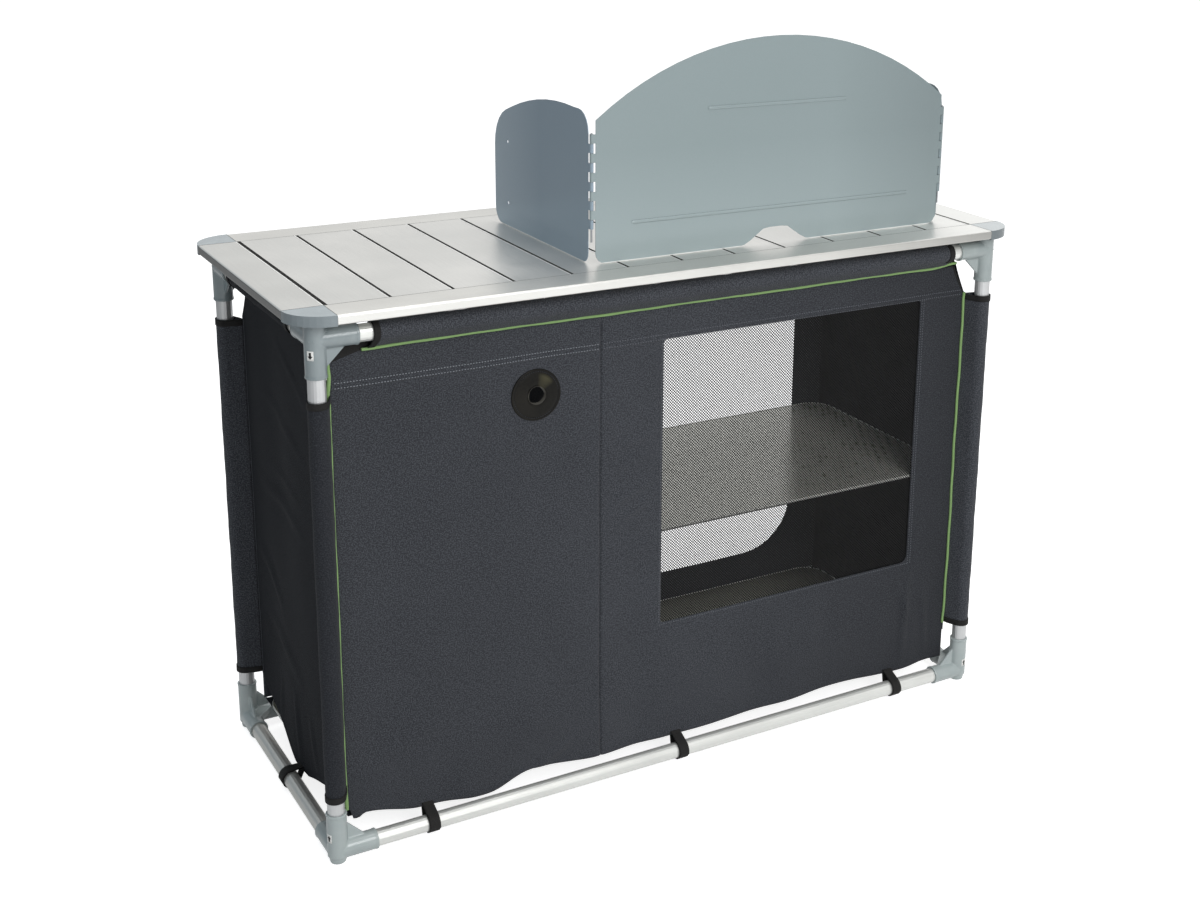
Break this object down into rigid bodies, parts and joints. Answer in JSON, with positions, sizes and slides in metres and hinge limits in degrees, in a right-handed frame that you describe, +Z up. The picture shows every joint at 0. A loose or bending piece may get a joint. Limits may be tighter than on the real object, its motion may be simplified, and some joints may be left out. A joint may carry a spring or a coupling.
{
  "type": "camp kitchen unit",
  "caption": "Camp kitchen unit: slatted aluminium top with a folding windscreen, on a plug-in tube frame that holds a divided fabric cabinet with a mesh window, a shelf and rear doors.",
  "frame": {"origin": "on the floor under the middle of the tabletop", "axes": "+X along the top, +Y towards the open door side, +Z up; -Y is the closed side with the mesh window"},
  "size_m": [1.1792, 0.5014, 1.1118],
  "materials": {
    "tube": "satin anodised round tube",
    "top": "satin anodised profile",
    "connector": "moulded, fine matt grain",
    "corner": "moulded, fine matt grain",
    "screen": "thin sheet, satin grey-green",
    "pin": "plain wire",
    "cloth": "heathered charcoal weave",
    "side_cloth": "dark plain weave",
    "net": "fine black mesh",
    "grommet": "matt",
    "piping": "green covered cord",
    "board": "stiff liner board"
  },
  "bodies": {
    "frame": {"leg_front_left": "tube", "bottom_connector_front_left": "connector", "top_connector_front_left": "connector", "leg_front_right": "tube", "bottom_connector_front_right": "connector", "top_connector_front_right": "connector", "leg_rear_right": "tube", "bottom_connector_rear_right": "connector", "top_connector_rear_right": "connector", "leg_rear_left": "tube", "bottom_connector_rear_left": "connector", "top_connector_rear_left": "connector", "bottom_rail_front": "tube", "top_rail_front": "tube", "bottom_rail_rear": "tube", "top_rail_rear": "tube", "bottom_rail_left": "tube", "top_rail_left": "tube", "bottom_rail_right": "tube", "top_rail_right": "tube", "front_panel": "cloth", "rear_panel": "cloth", "left_wall": "side_cloth", "right_wall": "side_cloth", "window_net": "net", "hose_grommet": "grommet", "front_piping": "piping", "cabinet_floor": "side_cloth", "divider": "side_cloth", "floor_board_left": "board", "floor_board_right": "board", "shelf_board": "board", "shelf_sling": "side_cloth", "door_roll_left": "cloth", "door_roll_right": "cloth"},
    "tabletop": {"table_corner_front_left": "corner", "table_corner_front_right": "corner", "table_corner_rear_right": "corner", "table_corner_rear_left": "corner", "table_rail_front": "top", "table_rail_rear": "top", "table_rail_left": "top", "table_rail_right": "top", "slat_01": "top", "slat_02": "top", "slat_03": "top", "slat_04": "top", "slat_05": "top", "slat_06": "top", "slat_07": "top", "slat_08": "top", "slat_09": "top", "slat_10": "top", "slat_11": "top", "slat_12": "top"},
    "windscreen": {"windscreen_main": "screen", "hinge_pin_left": "pin", "hinge_pin_right": "pin"},
    "wing_left": {"windscreen_wing_left": "screen"},
    "wing_right": {"windscreen_wing_right": "screen"}
  },
  "joints": [
    {"name": "tabletop_lift", "type": "slide", "parent": "frame", "child": "tabletop", "axis": [0, 0, 1], "range_m": [0, 0.1]},
    {"name": "windscreen_lift", "type": "slide", "parent": "tabletop", "child": "windscreen", "axis": [0, 0, 1], "range_m": [0, 0.1]},
    {"name": "wing_left_hinge", "type": "hinge", "parent": "windscreen", "child": "wing_left", "pos_m": [-0.1285, -0.1605, 0.92], "axis": [0, 0, 1], "range_deg": [-90, 90]},
    {"name": "wing_right_hinge", "type": "hinge", "parent": "windscreen", "child": "wing_right", "pos_m": [0.4925, -0.1605, 0.92], "axis": [0, 0, 1], "range_deg": [-90, 89]}
  ]
}
